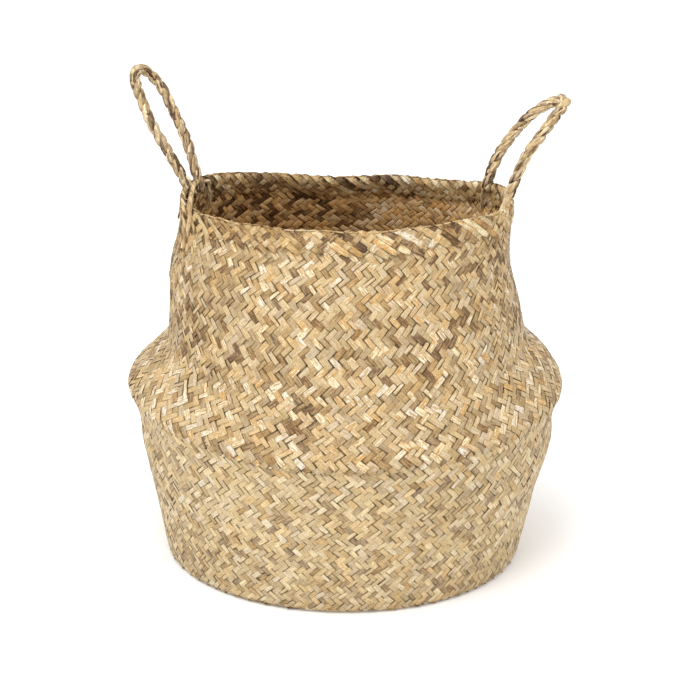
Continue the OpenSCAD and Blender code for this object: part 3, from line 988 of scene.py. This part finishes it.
def strand(line, guide, radius, slivers, lay=TAIL_LAY, tones=(0.0, 1.0), core=None):
    """One strand: slivers of leaf laid side by side round a line, all twisted the same way. A strand
    that lies against another one along a core is pressed flat by it."""
    made = []
    run = run_length(line)
    reach = np.broadcast_to(radius, len(line))
    along, first, second = rope_frame(line, guide)
    if core is not None:
        first = unit(line - core)
        second = np.cross(along, first)
    flat, wide = (0.86, 1.32) if core is not None else (1.0, 1.0)
    for k in range(slivers):
        phase = TAU * k / slivers + rng.normal() * 0.25
        turn = (-TAU * run / lay + phase + 0.35 * np.sin(run / (7 * MM) + rng.random() * 6))[:, None]
        out = np.cos(turn) * first * flat + np.sin(turn) * second * wide
        swell = 1 + 0.12 * np.sin(run / (4 * MM) + rng.random() * 6) + rng.normal() * 0.08
        place = line + out * (reach * 0.66 * swell)[:, None]
        drift = drifting_tones(1, len(line), 0.93, 0.8)[0]
        tone = tones[0] + (tones[1] - tones[0]) * drift
        width = reach * rng.uniform(0.42, 0.68)
        shade = 1 - 0.3 * (rng.random() < 0.25)
        made.append(ribbon(place, unit(out), width, reach * 0.4, tone, shade=shade))
    return made


def stray_fibre(start, heading, length, thickness, tone):
    """A loose fibre that stands off, bent and pointed."""
    share = np.linspace(0, 1, 7)[:, None]
    droop = rng.normal(size=3)
    line = start + heading * length * share + droop * length * 0.22 * share ** 2
    width = thickness * (1.15 - share[:, 0])
    up = unit(np.cross(heading, droop))
    return ribbon(line, up, width, width * 0.8, tone)


def loop_line(middle, along_feet, outward, span, bulge, height, lean_foot, lean_top):
    """The line of a loop: how far its feet are apart, how much wider it is above them, how high it is,
    and how far it leans outward, in degrees, at its feet and at its top."""
    q = np.linspace(-FEET_BELOW, 1 + FEET_BELOW, 260)
    turn = math.pi * q
    rise = height * np.sin(turn)
    lean = np.radians(lean_foot + (lean_top - lean_foot) * rise / height / 2)
    across = -np.cos(turn) * (span + bulge * np.sin(turn)) / 2
    upward = np.cos(lean)[:, None] * UP + np.sin(lean)[:, None] * outward
    line = middle + across[:, None] * along_feet + rise[:, None] * upward
    return line + outward * (0.5 * MM * np.sin(q * 31 + span * 900))[:, None]


def loose_fibre(centre, line):
    """A fibre that stands off from a strand, away from the rope's middle."""
    at = rng.integers(8, len(centre) - 8)
    away = unit(centre[at] - line[at] + rng.normal(size=3) * 1.2 * MM)
    heading = unit(away + (centre[at + 1] - centre[at - 1]) / MM * rng.choice((-0.6, 0.6)))
    begin = centre[at] + away * STRAND_R * 0.8
    return stray_fibre(begin, heading, rng.exponential(1.6) * MM + 1.2 * MM, FIBRE_T, rng.random())


def rope_handle(side, *shape):
    """A loop of two-strand rope. Its feet stand on the mouth's edge, where they stay as it swings."""
    hinge = JOINTS[side + "_handle_swing"]
    middle = np.array(hinge["pos_m"])
    way = -1 if side == "left" else 1
    along_feet = way * np.array(hinge["axis"])
    outward = way * np.array([along_feet[1], -along_feet[0], 0.0])
    line = loop_line(middle, along_feet, outward, *shape)
    for letter, phase in (("a", 0.0), ("b", math.pi)):
        centre = twisted(line, outward, phase)
        parts = strand(centre, outward, STRAND_R, STRAND_SLIVERS, STRAND_LAY, core=line)
        parts += [loose_fibre(centre, line) for _ in range(LOOSE_FIBRES)]
        piece = tubes(f"{side}_rope_strand_{letter}", parts, grass_rope)
        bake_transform(piece)
        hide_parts(f"{side}_handle_strand_{letter}")
    return line


left_line = rope_handle("left", 16.3 * MM, 46 * MM, 102 * MM, 27, 33)
right_line = rope_handle("right", 36.0 * MM, 9 * MM, 89 * MM, 18, 63)


# ---- The ropes' tails ----

def curve(points, count):
    """A smooth line through a few points."""
    points = np.array(points)
    at = np.linspace(0, len(points) - 1, count)
    low = np.clip(np.floor(at).astype(int), 0, len(points) - 2)
    s = (at - low)[:, None]
    padded = np.concatenate([[2 * points[0] - points[1]], points, [2 * points[-1] - points[-2]]])
    a, b, c, d = padded[low], padded[low + 1], padded[low + 2], padded[low + 3]
    bend = (2 * a - 5 * b + 4 * c - d) * s ** 2 + (3 * b - a - 3 * c + d) * s ** 3
    return 0.5 * (2 * b + (c - a) * s + bend)


def on_wall(degrees, height, off, raised=0.0, face=0.0):
    """A point by the wall, in degrees round it and millimetres: its height there, how far it is out from
    a face of the wall, and how far it is raised from that point."""
    u = np.array([wall.u_of_angle(degrees, height * MM)])
    row = np.array([wall.row_of_z(height * MM)])
    return wall.spot(u, row)[0] + wall.out(u, row)[0] * (face + off * MM) + UP * raised * MM


def lie_on_wall(spots, face=0.0):
    return [on_wall(*spot, face=face) for spot in spots]


def tail_piece(name, node, parts):
    piece = tubes(name, parts, grass_rope)
    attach(piece, "collar")
    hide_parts(node)


INNER_FACE = -WALL_T
LEFT_FRONT_FOOT, LEFT_REAR_FOOT = left_line[6], left_line[-7]
RIGHT_FRONT_FOOT, RIGHT_REAR_FOOT = right_line[6], right_line[-7]
# Where the tails lie: angle round the wall, height, distance out from its face, and how far raised
OVER_EDGE = ((199, 294.5, -1, 4.2), (203, 291, 1.8), (202.5, 284, 1.6), (201, 274, 1.0), (199.5, 264, 0.2))
BESIDE_IT = ((186, 295, -1, 3.4), (196, 291, 1.4), (197.5, 284, 1.4), (197.5, 273, 1), (197.5, 261, 0.2))
FURTHEST = ((185, 294, -1.5, 3), (189, 289, 0.3), (191, 281, 0.4), (192, 271, 0.6), (193, 263, 0.1))
LEFT_INSIDE = ((152, 293, -2.6), (151, 286, -2.4), (150, 277, -1.8), (150, 268, 0.2))
RIGHT_INSIDE = ((29, 293, -2.4), (29.5, 286, -2.2), (30, 278, -1.4), (30, 272, 0.2))
FAN_ANGLES = (-20, -16, -12, -7, -3)
TAIL_R = 2.2 * MM


def left_front_tail():
    """Three loose bundles that come over the edge at the left handle's feet, with stray fibres."""
    guide = np.array([-1.0, -0.3, 0.4])
    step = np.array([-3, -16, 0.5]) * MM
    aside = np.array([-0.5, -1, 0]) * MM
    over_edge = curve([LEFT_REAR_FOOT, LEFT_REAR_FOOT + step] + lie_on_wall(OVER_EDGE), 60)
    beside = curve([LEFT_FRONT_FOOT] + lie_on_wall(BESIDE_IT), 50)
    furthest = curve([LEFT_FRONT_FOOT + aside] + lie_on_wall(FURTHEST), 50)
    parts = strand(over_edge, guide, TAIL_R, 7, tones=(0.3, 1.0))
    parts += strand(beside, guide, TAIL_R, 7, tones=(0.1, 0.95))
    parts += strand(furthest, guide, 2.0 * MM, 6, tones=(0.1, 0.95))
    for line in (over_edge, beside, furthest):
        for _ in range(16):
            at = rng.integers(6, len(line) - 4)
            heading = unit(np.array([-1.0, -0.5, 0.1]) + rng.normal(size=3) * 0.6)
            begin = line[at] + heading * 1.5 * MM
            parts.append(stray_fibre(begin, heading, rng.uniform(1.5, 4) * MM, 0.25 * MM, rng.random()))
    tail_piece("left_front_tail", "left_handle_front_tail", parts)


def inside_tail(side, foot, spots, heading, radius, count):
    """A rope's end that is laid down inside the wall and tucked into it."""
    line = curve([foot] + lie_on_wall(spots, INNER_FACE), count)
    parts = strand(line, np.array([heading, -0.5, 0.0]), radius, 5, tones=(0.4, 1.0))
    tail_piece(f"{side}_rear_tail", f"{side}_handle_rear_tail", parts)


def right_front_tail():
    """Flat leaf ends that fan out from the right handle's front foot over the edge."""
    fan = []
    for k, angle in enumerate(FAN_ANGLES):
        foot = RIGHT_FRONT_FOOT + rng.normal(size=3) * 0.8 * MM
        between = RIGHT_FRONT_FOOT * 0.45 + on_wall(angle, 294, -3) * 0.55 + UP * 1.6 * MM
        spots = ((angle, 294, -2, 1.5), (angle - 1, 291, 0.8), (angle - 1, 286, 0.2))
        line = curve([foot, between] + lie_on_wall(spots), 30)
        drift = drifting_tones(1, 30, 0.9, 0.4)[0]
        face = UP + np.array([0.6, -0.6, 0])
        fan.append(ribbon(line, face, (1.4 + 0.1 * k) * MM, 0.8 * MM, 0.25 + 0.6 * drift))
    tail_piece("right_front_tail", "right_handle_front_tail", fan)


left_front_tail()
inside_tail("left", LEFT_REAR_FOOT, LEFT_INSIDE, 1.0, 1.9 * MM, 44)
right_front_tail()
inside_tail("right", RIGHT_REAR_FOOT, RIGHT_INSIDE, -1.0, 1.6 * MM, 40)
